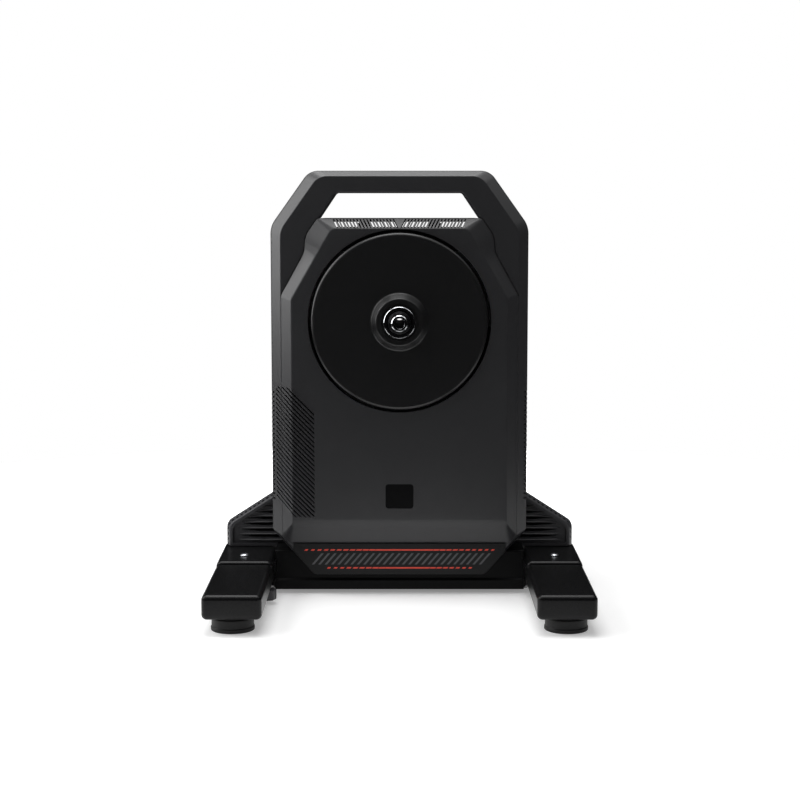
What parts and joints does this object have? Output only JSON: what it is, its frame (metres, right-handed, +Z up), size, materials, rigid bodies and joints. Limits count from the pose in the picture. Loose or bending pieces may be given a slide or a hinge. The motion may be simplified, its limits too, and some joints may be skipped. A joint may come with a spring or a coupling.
{
  "type": "direct drive bike trainer",
  "caption": "Direct drive bicycle trainer: flat eight-sided body with a carry handle, a spinning hub disc, belt-driven flywheel and brake inside, and a low base with folding legs.",
  "frame": {"origin": "on the floor, under the middle of the wheel axle, which is the centre of the base's footprint", "axes": "+X along the bicycle, to the right seen from the non-drive side; +Y to the drive side; +Z up"},
  "size_m": [0.444, 0.46, 0.519],
  "materials": {
    "charcoal_shell": "fine moulded texture, satin charcoal",
    "accent_plate": "dark moulded plate with printed red pattern",
    "grille_plastic": "moulded black slotted plate",
    "disc_plastic": "smooth satin black moulding",
    "black_coated_metal": "satin black powder coat",
    "cap_metal": "black anodised, turned",
    "housing_plastic": "black moulded texture",
    "moulded_parts": "black moulded",
    "rubber": "matt black moulded rubber",
    "bright_aluminium": "turned or cast bare aluminium",
    "bright_steel": "zinc plated or ground steel",
    "dark_steel": "black oxide steel",
    "cast_iron": "machined cast iron",
    "copper_wire": "enamelled copper wire",
    "circuit_board": "green solder mask",
    "lamp_lens": "clear moulded lens"
  },
  "bodies": {
    "base": {"carry_frame": "charcoal_shell", "front_cover": "charcoal_shell", "rear_cover": "charcoal_shell", "lower_apron": "accent_plate", "side_grille_left": "grille_plastic", "side_grille_right": "grille_plastic", "cover_screw_1": "dark_steel", "cover_screw_2": "dark_steel", "cover_screw_3": "dark_steel", "cover_screw_4": "dark_steel", "bearing_plate": "bright_aluminium", "main_axle": "dark_steel", "adapter_left": "bright_aluminium", "adapter_right": "bright_aluminium", "axle_bearing_left": "bright_steel", "axle_bearing_right": "bright_steel", "hub_bearing_left": "bright_steel", "hub_bearing_right": "bright_steel", "freehub_bearing_inner": "bright_steel", "freehub_bearing_outer": "bright_steel", "flywheel_bearing_front": "bright_steel", "flywheel_bearing_rear": "bright_steel", "drive_belt": "rubber", "brake_core": "dark_steel", "brake_coils": "copper_wire", "speed_sensor": "moulded_parts", "tension_arm": "bright_aluminium", "tension_bolt": "bright_steel", "cross_beam": "black_coated_metal", "rear_housing": "housing_plastic", "control_board": "circuit_board", "power_inlet": "moulded_parts", "status_lamp": "lamp_lens", "base_block_left": "black_coated_metal", "base_block_right": "black_coated_metal", "base_bolt_left": "bright_steel", "base_bolt_right": "bright_steel", "hinge_pin_near_left": "bright_steel", "hinge_pin_near_right": "bright_steel", "hinge_pin_far_left": "bright_steel", "hinge_pin_far_right": "bright_steel"},
    "flywheel": {"flywheel": "cast_iron", "flywheel_shaft": "bright_steel", "flywheel_pulley": "bright_steel"},
    "hub": {"pulley_cover": "disc_plastic", "drive_pulley": "bright_aluminium", "hub_shaft": "bright_steel", "shaft_cap": "cap_metal", "ratchet_ring": "bright_steel"},
    "idler": {"idler_pulley": "dark_steel"},
    "freehub": {"freehub_body": "dark_steel"},
    "leg_near_left": {"leg_near_left": "black_coated_metal", "foot_near_left": "rubber"},
    "leg_near_right": {"leg_near_right": "black_coated_metal", "foot_near_right": "rubber"},
    "leg_far_left": {"leg_far_left": "black_coated_metal", "foot_far_left": "rubber"},
    "leg_far_right": {"leg_far_right": "black_coated_metal", "foot_far_right": "rubber"},
    "lock_knob": {"lock_knob": "housing_plastic"}
  },
  "joints": [
    {"name": "flywheel_spin", "type": "hinge", "parent": "base", "child": "flywheel", "pos_m": [0, 0, 0.165], "axis": [0, 1, 0], "continuous": true},
    {"name": "hub_spin", "type": "hinge", "parent": "base", "child": "hub", "pos_m": [0, 0, 0.3387], "axis": [0, 1, 0], "continuous": true},
    {"name": "idler_spin", "type": "hinge", "parent": "base", "child": "idler", "pos_m": [0.06629, 0.01, 0.2178], "axis": [0, 1, 0], "continuous": true},
    {"name": "freehub_spin", "type": "hinge", "parent": "base", "child": "freehub", "pos_m": [0, 0.03, 0.3387], "axis": [0, 1, 0], "continuous": true},
    {"name": "leg_near_left_fold", "type": "hinge", "parent": "base", "child": "leg_near_left", "pos_m": [-0.161, -0.069, 0.035], "axis": [0, 0, 1], "range_deg": [0, 90]},
    {"name": "leg_near_right_fold", "type": "hinge", "parent": "base", "child": "leg_near_right", "pos_m": [0.161, -0.069, 0.035], "axis": [0, 0, -1], "range_deg": [0, 90]},
    {"name": "leg_far_left_fold", "type": "hinge", "parent": "base", "child": "leg_far_left", "pos_m": [-0.161, 0.069, 0.035], "axis": [0, 0, -1], "range_deg": [0, 90]},
    {"name": "leg_far_right_fold", "type": "hinge", "parent": "base", "child": "leg_far_right", "pos_m": [0.161, 0.069, 0.035], "axis": [0, 0, 1], "range_deg": [0, 90]},
    {"name": "lock_knob_turn", "type": "hinge", "parent": "base", "child": "lock_knob", "pos_m": [-0.161, -0.069, 0.014], "axis": [0, 0, 1], "range_deg": [0, 180]}
  ],
  "couplings": [
    {"joint": "hub_spin", "follows": "flywheel_spin", "ratio": 0.18182},
    {"joint": "idler_spin", "follows": "flywheel_spin", "ratio": -1.26}
  ]
}
